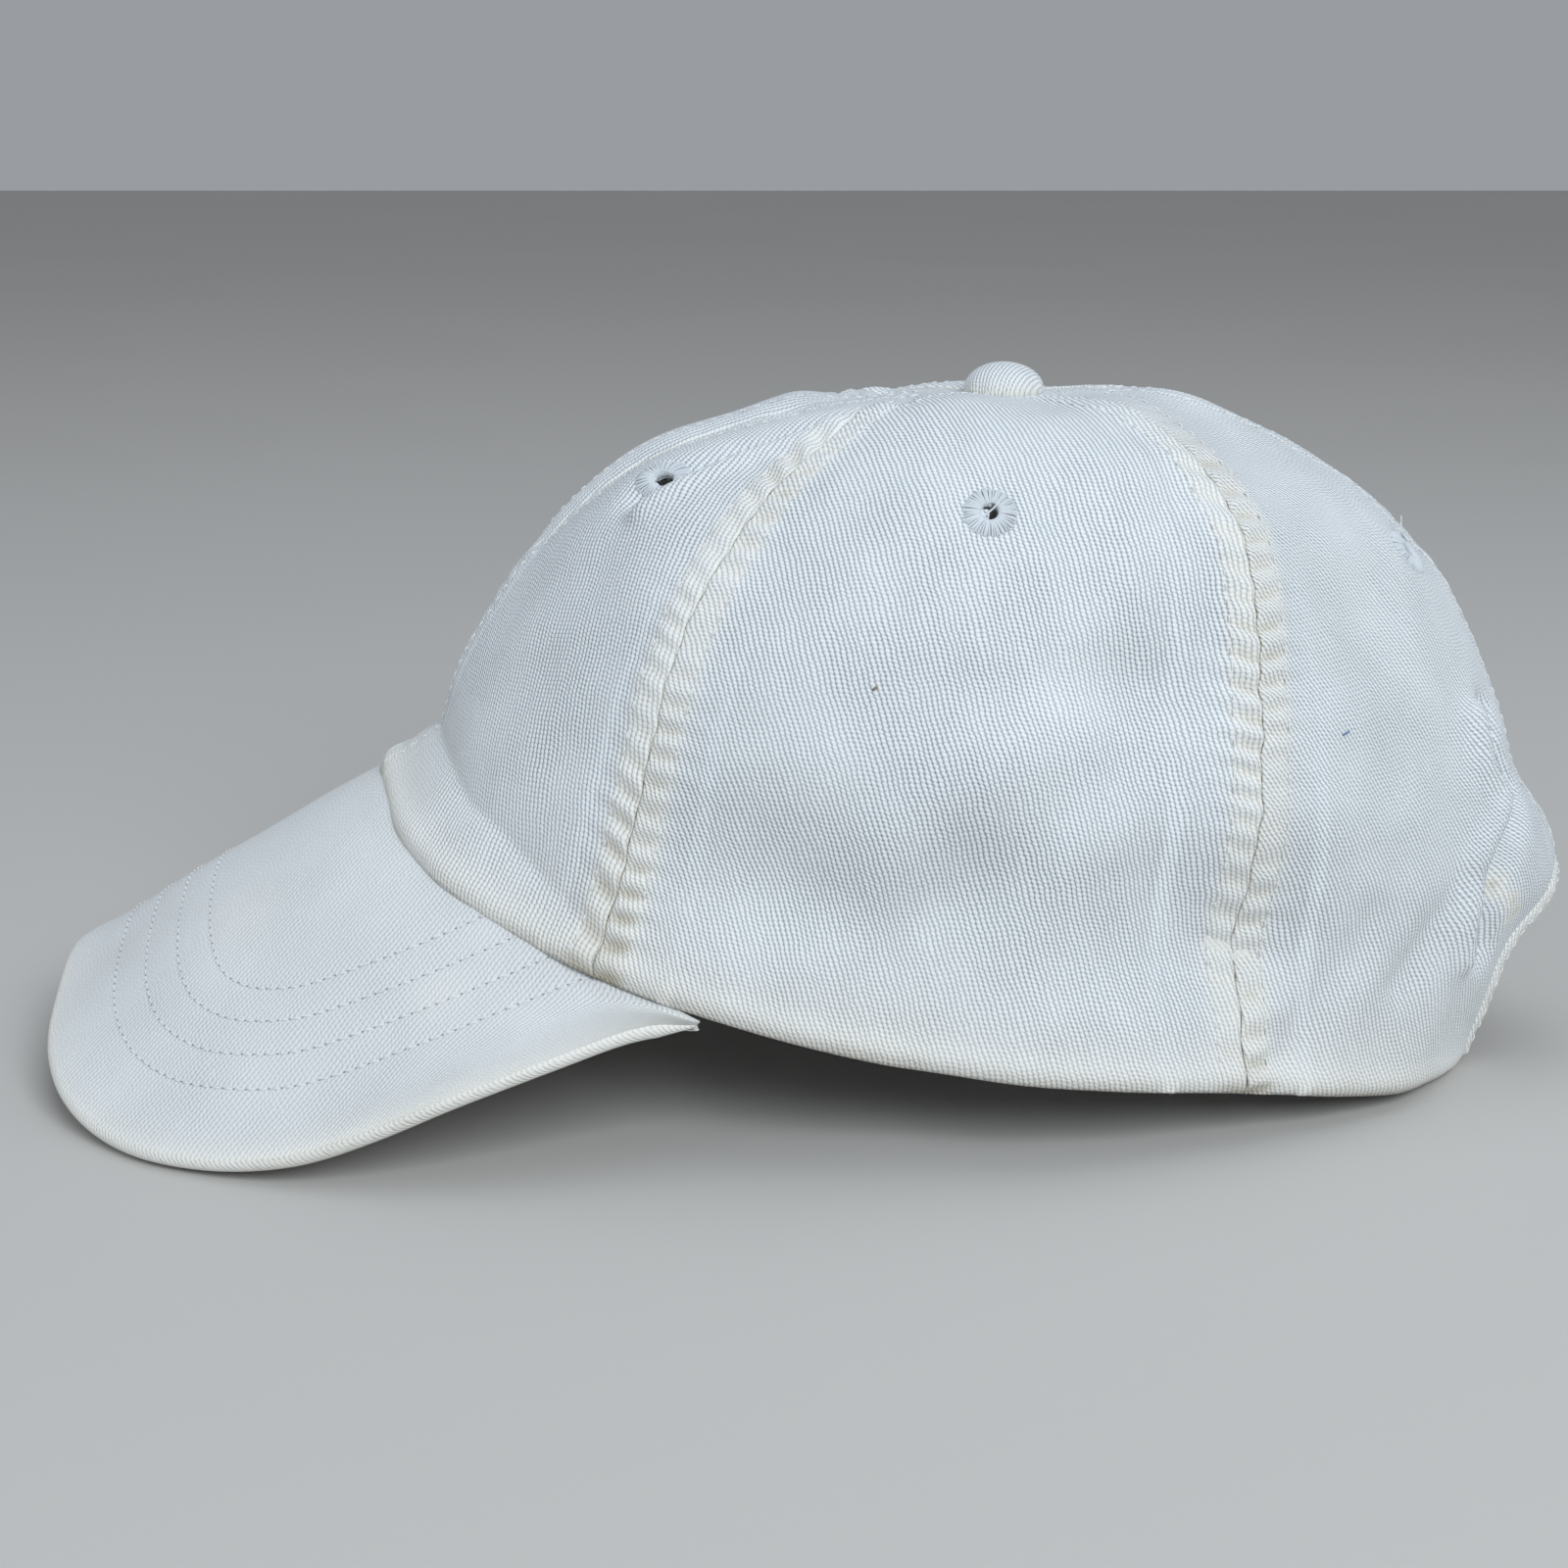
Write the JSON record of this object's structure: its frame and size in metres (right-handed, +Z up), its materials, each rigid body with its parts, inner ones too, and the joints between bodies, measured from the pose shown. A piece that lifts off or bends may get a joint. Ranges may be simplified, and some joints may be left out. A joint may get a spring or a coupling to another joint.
{
  "type": "baseball cap",
  "caption": "Soft low-profile baseball cap: panelled cotton-twill crown, curved stitched visor, covered button, embroidered eyelets and a strap with a metal clasp at the back.",
  "frame": {"origin": "on the table under the middle of the cap's box, as the cap rests on its visor and the back of its crown", "axes": "+Z up, -Y towards the visor, +X towards the wearer's left"},
  "size_m": [0.1544, 0.2878, 0.1307],
  "materials": {
    "twill": "matt washed cotton twill, faintly yellowed along seams",
    "twill_inside": "matt cotton twill and twill tape",
    "thread": "white embroidery thread and woven label",
    "board": "plain moulded sheet",
    "brass": "antiqued, brushed",
    "steel": "plain"
  },
  "bodies": {
    "cap": {"front_panel_left": "twill", "front_panel_right": "twill", "side_panel_left": "twill", "side_panel_right": "twill", "back_panel_left": "twill", "back_panel_right": "twill", "visor_top_cover": "twill", "visor_board": "board", "visor_under_cover": "twill_inside", "button_cover": "twill", "button_shell": "steel", "button_rivet": "steel", "button_backing": "steel", "back_opening_binding": "twill", "strap_adjusting": "twill", "strap_anchor": "twill", "sweatband": "twill_inside", "middle_seam_tape": "twill_inside", "front_seam_tape_left": "twill_inside", "front_seam_tape_right": "twill_inside", "back_seam_tape_left": "twill_inside", "back_seam_tape_right": "twill_inside", "care_label": "thread", "front_eyelet_left": "thread", "front_eyelet_right": "thread", "side_eyelet_left": "thread", "side_eyelet_right": "thread", "back_eyelet_left": "thread", "back_eyelet_right": "thread", "clasp_plate": "brass", "clasp_pin": "steel"},
    "lever": {"clasp_lever": "brass"},
    "keeper": {"strap_keeper": "twill"}
  },
  "joints": [
    {"name": "lever_hinge", "type": "hinge", "parent": "cap", "child": "lever", "pos_m": [-0.007, 0.11687, 0.01], "axis": [0, 0, 1], "range_deg": [0, 110]},
    {"name": "keeper_slide", "type": "slide", "parent": "cap", "child": "keeper", "axis": [1, 0, 0], "range_m": [0, 0.009]}
  ]
}
